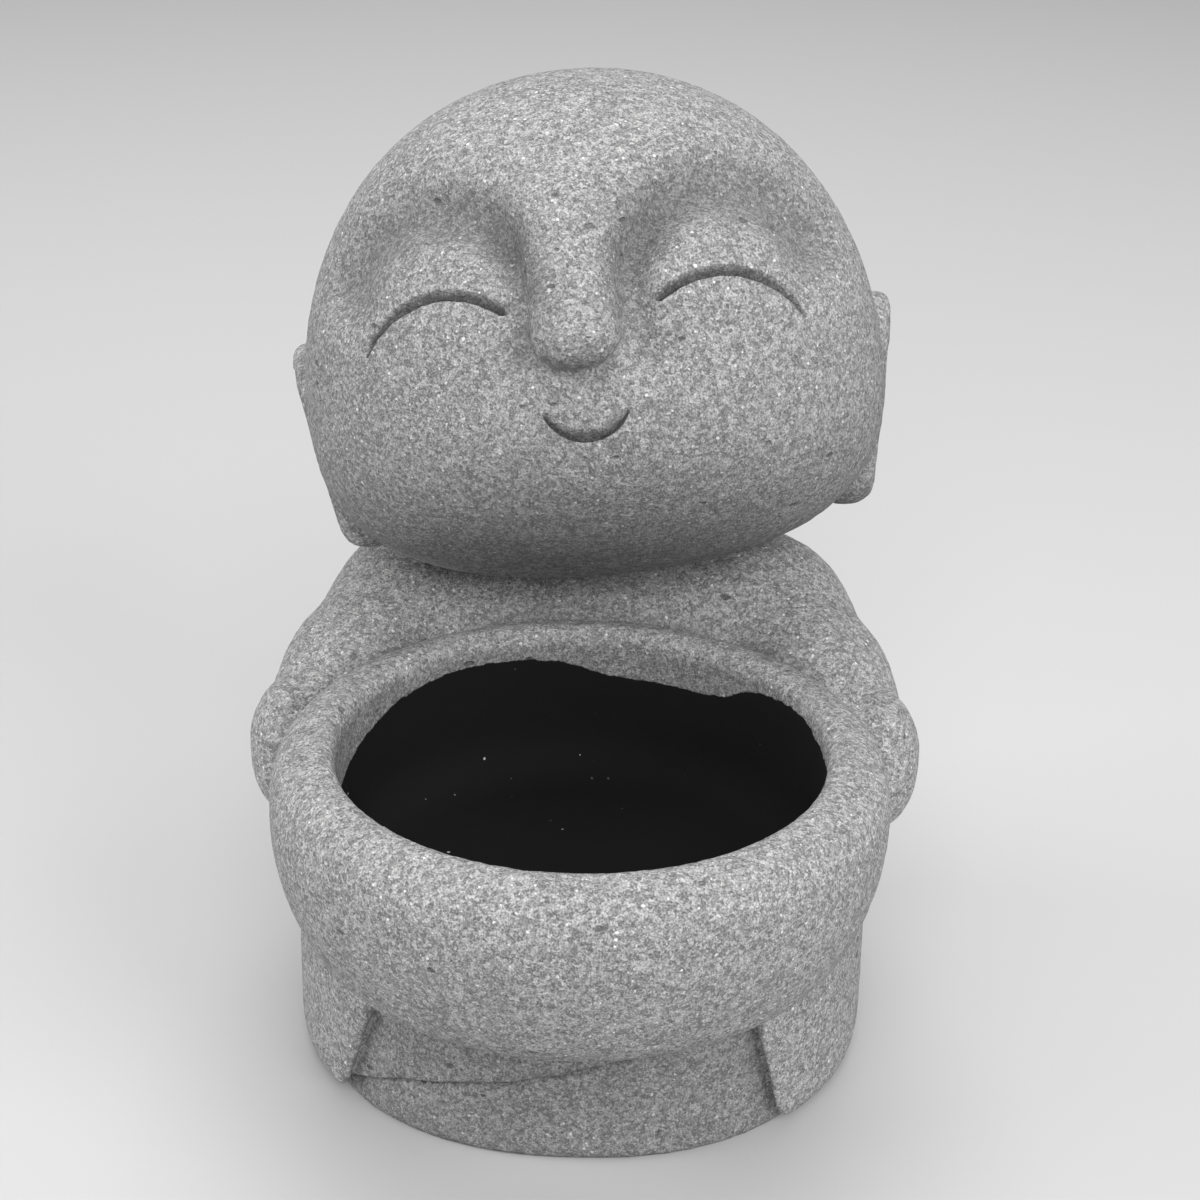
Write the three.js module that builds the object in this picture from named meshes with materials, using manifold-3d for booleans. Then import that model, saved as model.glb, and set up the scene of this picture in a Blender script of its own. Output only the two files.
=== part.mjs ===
// A small cast-stone jizo holding a wide round bowl, all one casting.
// Millimetres, +Z up, the face and the bowl towards -Y, origin under the middle of the base.
import * as THREE from 'three';
import { mergeVertices } from 'three/addons/utils/BufferGeometryUtils.js';
import Module from 'manifold-3d';

const wasm = await Module();
wasm.setup();

// Driving dimensions, in mm and degrees
const head = {
  centre: new THREE.Vector3(-0.9, 19, 117),
  halfWidth: 46.1,
  halfDepth: 38.5,
  up: 49.9, // from the widest level to the crown
  low: 29.9, // from the widest level to the chin
  widestDrop: 10, // the widest level lies this far under the centre
  upPower: 2.1,
  lowPower: 2.6,
  pitch: 12, // the face looks a little up
  roll: -6.4, // leans to its own right
  yaw: 1.8, // and turns a little to its left
  chinTaper: 0.34, // how much of the depth is lost towards the chin, at the front
  segments: [50, 35],
  frontCrowding: 0.35, // draws the meridians together over the face
};
const face = {
  pitch: 8,
  // The hollow over each eye fades over these distances towards the lid, the forehead and the nose.
  brow: {
    centre: [20.8, 3.2],
    radius: 14.2,
    from: 22,
    to: 196,
    inner: 4.2,
    outer: 5.6,
    noseSide: 3,
    end: 5,
    depth: 5,
    templeDepth: 3,
  },
  nose: { top: [-1.2, -27.2, 18], tip: [-0.8, -38, -0.4], topRadius: 4.4, tipRadius: 4.8, widen: 1.3 },
  eye: { centre: [20.5, -8.2], radius: 14.3, from: 27.4, to: 127.2 },
  mouth: { centre: [-0.6, -11.1], radius: 6.5, from: 200, to: 338 },
  cutRadius: 1.3,
  cutDepth: 1.9,
};
const ear = {
  outer: 49, // from the middle of the head to the outer face, at the top of the ear
  slope: 0.18, // the outer face closes in downwards
  thickness: 8,
  topCentre: [6, -8.5],
  topRadius: 8.5,
  lobeCentre: [3, -28.6],
  lobeRadius: 5.2,
  edgeRound: 1.8,
  hollow: [4, 4, 6.5],
};
const body = {
  layerTop: 46, // layers of cloth are proud of the body up to this level
  power: 2.25,
  segments: 44,
  // z, half width, front and back of each level
  levels: [
    [0, 42.8, -42.4, 44.9],
    [1.5, 44, -44, 46.4],
    [24, 44.2, -44.8, 48.3],
    [44, 46.4, -43.7, 51.9],
    [52, 46.4, -4, 51.9],
    [60, 44.2, 6.6, 50.9],
    [66, 39.8, 8.6, 51],
    [70, 34, 11.5, 49.5],
    [72, 28, 14.6, 46],
    [74, 14.6, 21.7, 36],
  ],
};
const neck = { centre: new THREE.Vector3(-1, 34, 67), radii: [33, 15.5, 12.5] };
const arm = {
  shoulder: new THREE.Vector3(29.8, 23.8, 63.9),
  elbow: new THREE.Vector3(37.1, 9, 57),
  wrist: new THREE.Vector3(45.3, -4, 53.5),
  radii: [12.7, 11.8, 8.5],
  segments: 14,
};
const hand = { centre: new THREE.Vector3(47.5, -5.7, 52.6), radii: [6.3, 10, 11.3] };
const sleeve = {
  proud: 3,
  low: 0.8,
  corner: 4,
  top: 55,
  back: 24, // they end here behind the arms
  // where the front edge meets the floor, and how far it leans in for each mm of height
  right: { foot: -37.8, lean: 0.27 },
  left: { foot: 33.2, lean: -0.22 },
};
const wrap = {
  proud: 0.8,
  top: 45,
  hem: [[-38, 3], [-27, 8.8], [-9, 13.5], [7, 18.5], [19, 22.5], [34, 27]], // x and z of its lower edge
};
const bowl = {
  centre: [0, -32.5],
  rim: 69.2,
  outer: 47,
  inner: 37,
  height: 31.6,
  depth: 25,
  foot: 29, // radius of the flat under the bowl
  lip: 5, // rounding of the lip towards the outside
  innerLip: 2.5,
  floorRound: 7,
  turn: [-10, -17, -25], // below the rim: where the wall starts to curve in, and two levels on that curve
  curveIn: 3, // how far the wall has come in at the last of them
  segments: 44,
};
const clear = 200; // longer than the statue, for cutting shapes that reach past it
const stone = { colour: 0x9a9a98, roughness: 0.95, metalness: 0 };

const rad = THREE.MathUtils.degToRad;

// Closed geometry as a solid, and a solid as geometry
function toSolid(geometry) {
  geometry.deleteAttribute('normal');
  geometry.deleteAttribute('uv');
  const merged = mergeVertices(geometry, 1e-4);
  const index = merged.index.array;
  const triVerts = [];
  for (let i = 0; i < index.length; i += 3) {
    const [a, b, c] = [index[i], index[i + 1], index[i + 2]];
    if (a !== b && b !== c && c !== a) triVerts.push(a, b, c);
  }
  return new wasm.Manifold(new wasm.Mesh({
    numProp: 3,
    vertProperties: merged.attributes.position.array,
    triVerts: new Uint32Array(triVerts),
  }));
}

function toGeometry(solid) {
  const mesh = solid.getMesh();
  const geometry = new THREE.BufferGeometry();
  geometry.setAttribute('position', new THREE.BufferAttribute(mesh.vertProperties, mesh.numProp));
  geometry.setIndex(new THREE.BufferAttribute(mesh.triVerts, 1));
  geometry.computeVertexNormals();
  return geometry;
}

function join(...solids) {
  return solids.reduce((sum, solid) => sum.add(solid));
}

// Moves every vertex of a geometry to the place that the function gives for it.
function moveVertices(geometry, place) {
  const position = geometry.attributes.position;
  const point = new THREE.Vector3();
  for (let i = 0; i < position.count; i += 1) {
    point.fromBufferAttribute(position, i);
    place(point);
    position.setXYZ(i, point.x, point.y, point.z);
  }
  return geometry;
}

// The other half of a mirrored pair, with its faces turned the right way again.
function mirrored(geometry) {
  const other = geometry.clone().applyMatrix4(new THREE.Matrix4().makeScale(-1, 1, 1));
  const index = other.index ? other.index.array : [...Array(other.attributes.position.count).keys()];
  const flipped = [];
  for (let i = 0; i < index.length; i += 3) flipped.push(index[i], index[i + 2], index[i + 1]);
  other.setIndex(flipped);
  return other;
}

function pair(geometry) {
  return join(toSolid(mirrored(geometry)), toSolid(geometry.clone()));
}

function ellipsoid(centre, radii, across = 16, down = 10) {
  const geometry = new THREE.SphereGeometry(1, across, down);
  geometry.scale(...radii);
  return geometry.translate(centre.x, centre.y, centre.z);
}

// Two balls of different size with the cone that touches both.
function taperedCapsule(from, to, fromRadius, toRadius, segments) {
  const length = from.distanceTo(to);
  const tangent = Math.asin((fromRadius - toRadius) / length);
  const steps = 3;
  const profile = [];
  for (let i = 0; i <= steps; i += 1) {
    const angle = -Math.PI / 2 + (i / steps) * (tangent + Math.PI / 2);
    profile.push(new THREE.Vector2(fromRadius * Math.cos(angle), fromRadius * Math.sin(angle)));
  }
  for (let i = 0; i <= steps; i += 1) {
    const angle = tangent + (i / steps) * (Math.PI / 2 - tangent);
    profile.push(new THREE.Vector2(toRadius * Math.cos(angle), length + toRadius * Math.sin(angle)));
  }
  profile[0].x = 0;
  profile[profile.length - 1].x = 0;
  const geometry = new THREE.LatheGeometry(profile, segments);
  const up = new THREE.Vector3(0, 1, 0);
  const turn = new THREE.Quaternion().setFromUnitVectors(up, to.clone().sub(from).normalize());
  return geometry.applyQuaternion(turn).translate(from.x, from.y, from.z);
}

// Head: a round form, wide at the cheeks, whose surface is one formula seen from its widest level
function skullRadius(direction, depthLeft) {
  const half = direction.z > 0 ? head.up : head.low;
  const power = direction.z > 0 ? head.upPower : head.lowPower;
  const flat = Math.hypot(direction.x / head.halfWidth, direction.y / (head.halfDepth * depthLeft));
  return (flat ** power + Math.abs(direction.z / half) ** power) ** (-1 / power);
}

// The place of the skull in a direction, with its front drawn in towards the chin
function plainSkull(direction) {
  const point = new THREE.Vector3();
  let depthLeft = 1;
  for (let i = 0; i < 6; i += 1) {
    point.copy(direction).multiplyScalar(skullRadius(direction, depthLeft));
    const lower = THREE.MathUtils.clamp(-point.z / head.low, 0, 1);
    const front = THREE.MathUtils.clamp(0.3 - point.y / 30, 0, 1);
    depthLeft = 1 - head.chinTaper * lower * lower * front;
  }
  return point;
}

const faceTurn = new THREE.Matrix4().makeRotationX(rad(-face.pitch));
const faceBack = faceTurn.clone().invert();

// The soft hollow that runs over each closed eye and down beside the nose
function browDip(point) {
  const { centre, radius, from, to, inner, outer, noseSide, end, depth, templeDepth } = face.brow;
  const { clamp, lerp, radToDeg, euclideanModulo } = THREE.MathUtils;
  const f = point.clone().applyMatrix4(faceBack);
  if (f.y > 0) return 0;
  const u = Math.abs(f.x) - centre[0];
  const w = f.z - centre[1];
  const [middle, half] = [(from + to) / 2, (to - from) / 2];
  const turn = euclideanModulo(radToDeg(Math.atan2(w, u)) - middle + 180, 360) - 180;
  const along = clamp(turn / half, -1, 1);
  const nearest = rad(middle + along * half);
  const away = Math.hypot(u - radius * Math.cos(nearest), w - radius * Math.sin(nearest));
  const outside = Math.hypot(u, w) - radius;
  const past = Math.sqrt(Math.max(away * away - outside * outside, 0));
  const fade = outside > 0 ? lerp(outer, noseSide, clamp(0.5 + along, 0, 1) ** 2) : inner;
  const deep = lerp(templeDepth, depth, clamp(0.7 + along, 0, 1) ** 2);
  const runOut = 1 - 0.5 * clamp(along - 0.4, 0, 1);
  return deep * runOut * Math.exp(-((outside / fade) ** 2) - (past / end) ** 2);
}

function skullPoint(direction) {
  const point = plainSkull(direction);
  point.z -= head.widestDrop;
  return point.addScaledVector(direction, -browDip(point));
}

function skull() {
  const geometry = new THREE.SphereGeometry(1, ...head.segments).rotateX(Math.PI / 2);
  return moveVertices(geometry, (p) => {
    const turn = Math.atan2(p.x, -p.y);
    const crowded = turn - head.frontCrowding * Math.sin(turn);
    const flat = Math.hypot(p.x, p.y);
    p.copy(skullPoint(new THREE.Vector3(flat * Math.sin(crowded), -flat * Math.cos(crowded), p.z)));
  });
}

// The point of the skull in front of a place of the face, both in the face's own frame.
function onFace(u, w) {
  const origin = new THREE.Vector3(0, 0, -head.widestDrop);
  let [near, far] = [0, -2 * head.halfDepth];
  for (let i = 0; i < 30; i += 1) {
    const middle = (near + far) / 2;
    const point = new THREE.Vector3(u, middle, w).applyMatrix4(faceTurn).sub(origin);
    const reach = skullPoint(point.clone().normalize()).sub(origin).length();
    if (point.length() < reach) near = middle;
    else far = middle;
  }
  return new THREE.Vector3(u, near, w);
}

// A cutter along an arc of the face: it dips in at the middle and leaves the surface at both ends.
function arcCutter({ centre, radius, from, to }) {
  const steps = 10;
  const points = [];
  for (let i = 0; i <= steps; i += 1) {
    const t = i / steps;
    const angle = rad(from + t * (to - from));
    const point = onFace(centre[0] + radius * Math.cos(angle), centre[1] + radius * Math.sin(angle));
    const lift = face.cutRadius - face.cutDepth * Math.sin(Math.PI * t) ** 0.5;
    const outward = point.clone().normalize();
    points.push(point.addScaledVector(outward, lift));
  }
  const section = new THREE.Shape();
  section.absarc(0, 0, face.cutRadius, 0, 2 * Math.PI);
  return new THREE.ExtrudeGeometry(section, {
    steps,
    curveSegments: 4,
    extrudePath: new THREE.CatmullRomCurve3(points),
  }).applyMatrix4(faceTurn);
}

function nose() {
  const { top, tip, topRadius, tipRadius, widen } = face.nose;
  const [low, high] = [new THREE.Vector3(...tip), new THREE.Vector3(...top)];
  const ridge = taperedCapsule(low, high, tipRadius, topRadius, 20).scale(widen, 1, 1);
  return ridge.applyMatrix4(faceTurn);
}

// Long ear lobes, flat against the head, with a shallow hollow on the outside
function earLobe() {
  const outline = new THREE.Shape();
  outline.absarc(...ear.topCentre, ear.topRadius - ear.edgeRound, 0, Math.PI);
  outline.absarc(...ear.lobeCentre, ear.lobeRadius - ear.edgeRound, Math.PI, 2 * Math.PI);
  const geometry = new THREE.ExtrudeGeometry(outline, {
    depth: ear.thickness - 2 * ear.edgeRound,
    curveSegments: 5,
    bevelSize: ear.edgeRound,
    bevelThickness: ear.edgeRound,
    bevelSegments: 2,
  });
  return moveVertices(geometry, (p) => {
    const [y, z, depth] = [p.x, p.y, p.z];
    const outer = ear.outer + ear.slope * z;
    p.set(outer - ear.thickness + ear.edgeRound + depth, y, z);
  });
}

function headSolid() {
  const lobe = earLobe();
  const place = new THREE.Vector3(ear.outer + ear.slope * ear.topCentre[1] + 0.5, ...ear.topCentre);
  const hollow = ellipsoid(place, ear.hollow, 12, 8);
  const blank = join(toSolid(skull()), toSolid(nose()), pair(lobe).subtract(pair(hollow)));
  const cut = blank.subtract(join(pair(arcCutter(face.eye)), toSolid(arcCutter(face.mouth))));
  const pose = new THREE.Matrix4().makeRotationZ(rad(head.yaw))
    .multiply(new THREE.Matrix4().makeRotationY(rad(head.roll)))
    .multiply(new THREE.Matrix4().makeRotationX(rad(-head.pitch)))
    .setPosition(head.centre);
  return toSolid(toGeometry(cut).applyMatrix4(pose));
}

// Body: one closed form through its levels, each a rounded oval. A layer over it stands proud up to
// the hem level and runs out into the body above it.
function bodyForm(layer = 0) {
  const rings = body.levels;
  const profile = [new THREE.Vector2(0, 0)];
  rings.forEach((level, i) => profile.push(new THREE.Vector2(1, i)));
  profile.push(new THREE.Vector2(0, rings.length - 1));
  const geometry = new THREE.LatheGeometry(profile, body.segments);
  return moveVertices(geometry, (p) => {
    const [z, halfWidth, front, back] = rings[Math.round(p.y)];
    const proud = z > body.layerTop ? 0 : layer;
    const length = Math.hypot(p.x, p.z);
    const [c, s] = length > 0 ? [p.x / length, -p.z / length] : [1, 0];
    const round = (Math.abs(c) ** body.power + Math.abs(s) ** body.power) ** (-1 / body.power);
    const reach = length * round;
    p.set(
      c * reach * (halfWidth + proud),
      (front + back) / 2 + s * reach * ((back - front) / 2 + proud),
      z,
    );
  });
}

// A plate cut to an outline in X and Z, from a given depth out through the front of the body
function plate(outline, back) {
  const settings = { depth: clear, bevelEnabled: false, curveSegments: 5 };
  return new THREE.ExtrudeGeometry(outline, settings).rotateX(Math.PI / 2).translate(0, back, 0);
}

// The parts of the body's form, a little proud, that hang down from the arms as sleeves
function sleeveOutline({ foot, lean }) {
  const { low, top, corner } = sleeve;
  const side = Math.sign(foot);
  const far = (clear / 2) * side;
  const edge = (z) => foot + lean * z;
  const outline = new THREE.Shape();
  outline.moveTo(edge(low + corner), low + corner);
  outline.quadraticCurveTo(edge(low), low, edge(low) + side * corner, low);
  outline.lineTo(far, low);
  outline.lineTo(far, top);
  outline.lineTo(edge(top), top);
  return outline;
}

function sleeveSolid() {
  const sides = [sleeve.right, sleeve.left].map((edge) => toSolid(plate(sleeveOutline(edge), sleeve.back)));
  return toSolid(bodyForm(sleeve.proud)).intersect(join(...sides));
}

// The upper layer of the robe, whose hem sweeps across the front
function wrapSolid() {
  const outline = new THREE.Shape();
  outline.moveTo(...wrap.hem[0]);
  outline.splineThru(wrap.hem.slice(1).map(([x, z]) => new THREE.Vector2(x, z)));
  outline.lineTo(wrap.hem.at(-1)[0], wrap.top);
  outline.lineTo(wrap.hem[0][0], wrap.top);
  return toSolid(bodyForm(wrap.proud)).intersect(toSolid(plate(outline, 0)));
}

function armSolid() {
  const upper = taperedCapsule(arm.shoulder, arm.elbow, arm.radii[0], arm.radii[1], arm.segments);
  const lower = taperedCapsule(arm.elbow, arm.wrist, arm.radii[1], arm.radii[2], arm.segments);
  return join(pair(upper), pair(lower), pair(ellipsoid(hand.centre, hand.radii)));
}

// Bowl: round-lipped and thick-walled, turned about its own axis
function bowlProfile() {
  const { outer, inner, height, depth, foot, lip, innerLip, floorRound, turn, curveIn } = bowl;
  const path = new THREE.Path();
  path.moveTo(0, -height);
  path.lineTo(foot, -height);
  path.quadraticCurveTo(outer - 2 * curveIn, -height, outer - curveIn, turn[2]);
  path.quadraticCurveTo(outer, turn[1], outer, turn[0]);
  path.quadraticCurveTo(outer, 0, outer - lip, 0);
  path.lineTo(inner + innerLip, 0);
  path.quadraticCurveTo(inner, 0, inner, -innerLip);
  path.lineTo(inner, -depth + floorRound);
  path.quadraticCurveTo(inner, -depth, inner - floorRound, -depth);
  path.lineTo(0, -depth);
  return path.getPoints(3);
}

function bowlHollow() {
  const { inner, depth, floorRound } = bowl;
  const above = 20; // clear of everything that leans over the bowl
  const path = new THREE.Path();
  path.moveTo(0, -depth);
  path.lineTo(inner - floorRound, -depth);
  path.quadraticCurveTo(inner, -depth, inner, -depth + floorRound);
  path.lineTo(inner, above);
  path.lineTo(0, above);
  return path.getPoints(3);
}

function turned(profile) {
  const geometry = new THREE.LatheGeometry(profile, bowl.segments).rotateX(Math.PI / 2);
  return toSolid(geometry.translate(bowl.centre[0], bowl.centre[1], bowl.rim));
}

function jizo() {
  const neckSolid = toSolid(ellipsoid(neck.centre, neck.radii, 24, 8));
  const trunk = join(toSolid(bodyForm()), wrapSolid(), sleeveSolid(), armSolid(), neckSolid);
  return join(trunk.subtract(turned(bowlHollow())), turned(bowlProfile()), headSolid());
}

const material = new THREE.MeshStandardMaterial({
  color: stone.colour,
  roughness: stone.roughness,
  metalness: stone.metalness,
});
const statue = new THREE.Mesh(toGeometry(jizo()), material);
statue.name = 'jizo_statue';

const model = new THREE.Group();
model.add(statue);

export default model;
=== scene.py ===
# A small cast-stone jizo that holds a wide bowl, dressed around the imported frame.
# The shapes are worked out in millimetres in the object's own frame, +Z up and the face towards -Y,
# and turned into metres when the mesh is made.
import math

import bmesh
import bpy
import numpy as np
from mathutils import Matrix, Vector


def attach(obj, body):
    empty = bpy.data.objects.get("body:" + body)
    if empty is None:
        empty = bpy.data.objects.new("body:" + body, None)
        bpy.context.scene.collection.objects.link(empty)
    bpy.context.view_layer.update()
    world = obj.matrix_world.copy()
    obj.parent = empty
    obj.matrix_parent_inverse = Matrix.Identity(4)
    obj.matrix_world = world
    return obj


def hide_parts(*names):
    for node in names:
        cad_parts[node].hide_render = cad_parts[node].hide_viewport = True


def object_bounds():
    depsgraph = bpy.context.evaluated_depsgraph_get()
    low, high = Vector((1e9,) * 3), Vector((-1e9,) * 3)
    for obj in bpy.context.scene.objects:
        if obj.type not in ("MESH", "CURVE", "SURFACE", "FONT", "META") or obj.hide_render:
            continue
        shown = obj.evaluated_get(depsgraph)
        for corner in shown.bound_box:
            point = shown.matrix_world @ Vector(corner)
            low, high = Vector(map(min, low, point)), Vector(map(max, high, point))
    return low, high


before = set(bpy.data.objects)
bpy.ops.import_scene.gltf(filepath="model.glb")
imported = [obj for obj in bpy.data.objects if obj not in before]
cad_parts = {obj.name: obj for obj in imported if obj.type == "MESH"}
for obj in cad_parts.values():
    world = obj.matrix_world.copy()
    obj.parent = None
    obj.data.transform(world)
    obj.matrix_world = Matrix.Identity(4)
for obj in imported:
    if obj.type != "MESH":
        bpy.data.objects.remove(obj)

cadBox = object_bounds()
mm = 0.001


# Camera

camera = {
    "target": (2.0, 0.0, 77.0),  # mm
    "distance": 462.0,  # mm
    "pitch": 25.4,  # degrees above the floor
    "azimuth": 0.8,
    "roll": 1.1,
    "focalPixels": 2894.0,
    "imagePixels": 1200.0,
    "sensor": 36.0,
}


def makeCamera():
    pitch, azimuth, roll = (math.radians(camera[k]) for k in ("pitch", "azimuth", "roll"))
    back = Vector((
        math.sin(azimuth) * math.cos(pitch),
        -math.cos(azimuth) * math.cos(pitch),
        math.sin(pitch),
    ))
    level = Vector((math.cos(azimuth), math.sin(azimuth), 0))
    upright = back.cross(level)
    right = math.cos(roll) * level + math.sin(roll) * upright
    up = math.cos(roll) * upright - math.sin(roll) * level
    data = bpy.data.cameras.new("camera")
    data.sensor_width = camera["sensor"]
    data.lens = camera["focalPixels"] / camera["imagePixels"] * camera["sensor"]
    data.clip_start = 0.01
    eye = bpy.data.objects.new("camera", data)
    place = (Vector(camera["target"]) + camera["distance"] * back) * mm
    eye.matrix_world = Matrix.Translation(place) @ Matrix((right, up, back)).transposed().to_4x4()
    bpy.context.scene.collection.objects.link(eye)
    bpy.context.scene.camera = eye


makeCamera()
print("camera set")


# Soft shape arithmetic: a shape is a function that is negative inside, in mm

def softMin(a, b, blend):
    mix = np.clip(0.5 + 0.5 * (b - a) / blend, 0, 1)
    return b + (a - b) * mix - blend * mix * (1 - mix)


def softMax(a, b, blend):
    return -softMin(-a, -b, blend)


def ball(p, centre, radii):
    radii = np.array(radii)
    q = (p - np.array(centre)) / radii
    size = np.sqrt((q ** 2).sum(1))
    slope = np.sqrt(((q / radii) ** 2).sum(1))
    return size * (size - 1) / np.maximum(slope, 1e-9)


def limb(p, start, end, startRadius, endRadius):
    start, end = np.array(start, float), np.array(end, float)
    along = end - start
    t = np.clip((p - start) @ along / (along @ along), 0, 1)
    away = p - start - t[:, None] * along
    return np.sqrt((away ** 2).sum(1)) - (startRadius + (endRadius - startRadius) * t)


def oval(p, halfWidth, halfDepth, middle, power):
    x, y = p[:, 0], p[:, 1] - middle
    g = ((np.abs(x) / halfWidth) ** power + (np.abs(y) / halfDepth) ** power) ** (1 / power)
    return np.hypot(x, y) * (1 - 1 / np.maximum(g, 1e-6))


def bothSides(p):
    q = p.copy()
    q[:, 0] = np.abs(q[:, 0])
    return q


# Distance from an arc drawn on a plane, and how far along it the nearest point is, from -1 to 1
def arcDistance(u, w, arc):
    du, dw = u - arc["centre"][0], w - arc["centre"][1]
    middle, half = (arc["start"] + arc["end"]) / 2, (arc["end"] - arc["start"]) / 2
    turn = (np.degrees(np.arctan2(dw, du)) - middle + 180) % 360 - 180
    along = np.clip(turn / half, -1, 1)
    nearest = np.radians(middle + along * half)
    away = np.hypot(du - arc["radius"] * np.cos(nearest), dw - arc["radius"] * np.sin(nearest))
    outside = np.hypot(du, dw) - arc["radius"]
    past = np.sqrt(np.maximum(away ** 2 - outside ** 2, 0)) * (np.abs(along) > 0.999)
    return along, outside, past


# A cut that slants in from its wide side and ends at a steep wall, 1 at its deepest, with round ends
def slantedCut(across, past, size, cut):
    across, past = across / size, past / size
    rise = (across + cut["wide"] - 0.7 * past ** 2) / (cut["wide"] + cut["deepest"])
    fall = (cut["steep"] - across - 0.7 * past ** 2) / (cut["steep"] - cut["deepest"])
    return np.clip(softMin(rise, fall, 0.25), 0, 1)


def turnMatrix(angle, axis):
    return np.array(Matrix.Rotation(math.radians(angle), 3, axis))


# Head

head = {
    "centre": (-0.9, 19.0, 117.0),
    "halfWidth": 46.1,
    "halfDepth": 38.5,
    "up": 49.9,  # from the widest level to the crown
    "low": 29.9,  # from the widest level to the chin
    "widestDrop": 10.0,
    "upPower": 2.1,
    "lowPower": 2.6,
    "pitch": 12.0,
    "roll": -6.4,
    "yaw": 1.8,
    "facePitch": 8.0,
    "chinTaper": 0.34,  # how much of the depth is lost towards the chin, at the front
    "cutLean": 0.3,  # how far the cuts go down for each mm that they go in
}
brow = {
    "centre": (20.8, 3.2),
    "radius": 14.2,
    "start": 22.0,
    "end": 208.0,
    "inner": 3.4,  # how fast the hollow fades towards the lid
    "outer": 5.0,  # and towards the forehead
    "noseSide": 3.0,  # and towards the nose
    "depth": 5.6,
    "templeDepth": 3.6,
    "runOut": 0.7,  # how much shallower it gets down beside the nose
    "endFade": 5.0,  # mm past its ends
    "frontFade": 8.0,  # mm ahead of the middle of the head, where it is full
}
# Each arc has its centre across and up on the face in mm, and starts and ends at angles in degrees
eye = {
    "centre": (20.5, -8.6),
    "radius": 14.3,
    "start": 27.4,
    "end": 127.2,
    "depth": 2.6,
    "thinner": 0.65,  # at the outer end
    "wide": 1.05,
    "deepest": 0.45,
    "steep": 0.75,
}
mouth = {
    "centre": (-0.6, -9.9),
    "radius": 7.04,
    "start": 209.0,
    "end": 327.0,
    "depth": 2.4,
    "thinner": 0.45,  # at both ends
    "wide": 1.3,
    "deepest": 0.4,
    "steep": 0.7,
}
nose = {
    "top": (-1.2, -29.0, 18),
    "tip": (-0.8, -38.0, -2.2),
    "topRadius": 4.6,
    "tipRadius": 4.6,
    "widen": 1.42,  # broader than it is proud
    "blend": 3.0,
    "underBlend": 1.2,  # crisper below the tip
    "underFade": 3.0,
}
ears = {
    "outer": 49.0,
    "slope": 0.18,  # the outer face closes in downwards
    "half": 4.0,
    "top": (0, 6.0, -8.5),
    "topRadius": 8.5,
    "lobe": (0, 3.0, -28.6),
    "lobeRadius": 5.2,
    "hollow": (4.0, 4.0, 6.5),
    "hollowOffset": (0.8, 1.5, 1.5),
    "edge": 3.5,
    "hollowEdge": 1.2,
    "blend": 1.0,
}
headTurn = turnMatrix(head["yaw"], "Z") @ turnMatrix(head["roll"], "Y") @ turnMatrix(-head["pitch"], "X")
faceTurn = turnMatrix(-head["facePitch"], "X")


def skull(q):
    z = q[:, 2] + head["widestDrop"]
    lower = np.clip(-z / head["low"], 0, 1) ** 2 * np.clip(0.3 - q[:, 1] / 30, 0, 1)
    deep = head["halfDepth"] * (1 - head["chinTaper"] * lower)
    flat = np.hypot(q[:, 0] / head["halfWidth"], q[:, 1] / deep)
    half = np.where(z > 0, head["up"], head["low"])
    power = np.where(z > 0, head["upPower"], head["lowPower"])
    g = (flat ** power + (np.abs(z) / half) ** power) ** (1 / power)
    return np.sqrt(q[:, 0] ** 2 + q[:, 1] ** 2 + z ** 2) * (1 - 1 / np.maximum(g, 1e-6))


def earShape(q):
    s = bothSides(q)
    side = s * (0, 1, 1)
    lobe = limb(side, ears["top"], ears["lobe"], ears["topRadius"], ears["lobeRadius"])
    outer = ears["outer"] + ears["slope"] * s[:, 2]
    slab = np.abs(s[:, 0] - outer + ears["half"]) - ears["half"]
    hollowPlace = np.array((ears["outer"], *ears["top"][1:])) - ears["hollowOffset"]
    whole = softMax(lobe, slab, ears["edge"])
    return softMax(whole, -ball(s, hollowPlace, ears["hollow"]), ears["hollowEdge"])


# How deep the hollow under each brow is
def browHollow(face):
    front = np.clip(-face[:, 1] / brow["frontFade"], 0, 1)
    along, outside, past = arcDistance(np.abs(face[:, 0]), face[:, 2], brow)
    towardNose = np.clip(0.5 + along, 0, 1)
    outer = brow["outer"] + (brow["noseSide"] - brow["outer"]) * towardNose ** 2
    fade = np.where(outside > 0, outer, brow["inner"])
    depth = brow["templeDepth"] + (brow["depth"] - brow["templeDepth"]) * np.clip(0.7 + along, 0, 1) ** 2
    depth = depth * (1 - brow["runOut"] * np.clip((along - 0.3) / 0.7, 0, 1))
    return front * depth * np.exp(-(outside / fade) ** 2 - (past / brow["endFade"]) ** 2)


def headShape(p):
    q = (p - np.array(head["centre"])) @ headTurn
    face = q @ faceTurn
    f = skull(q) + browHollow(face)
    slim = face / (nose["widen"], 1, 1)
    ridge = limb(slim, nose["tip"], nose["top"], nose["tipRadius"], nose["topRadius"])
    under = np.clip((nose["tip"][2] - face[:, 2]) / nose["underFade"], 0, 1)
    f = softMin(f, ridge, nose["blend"] + (nose["underBlend"] - nose["blend"]) * under)
    return softMin(f, earShape(q), ears["blend"])


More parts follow.
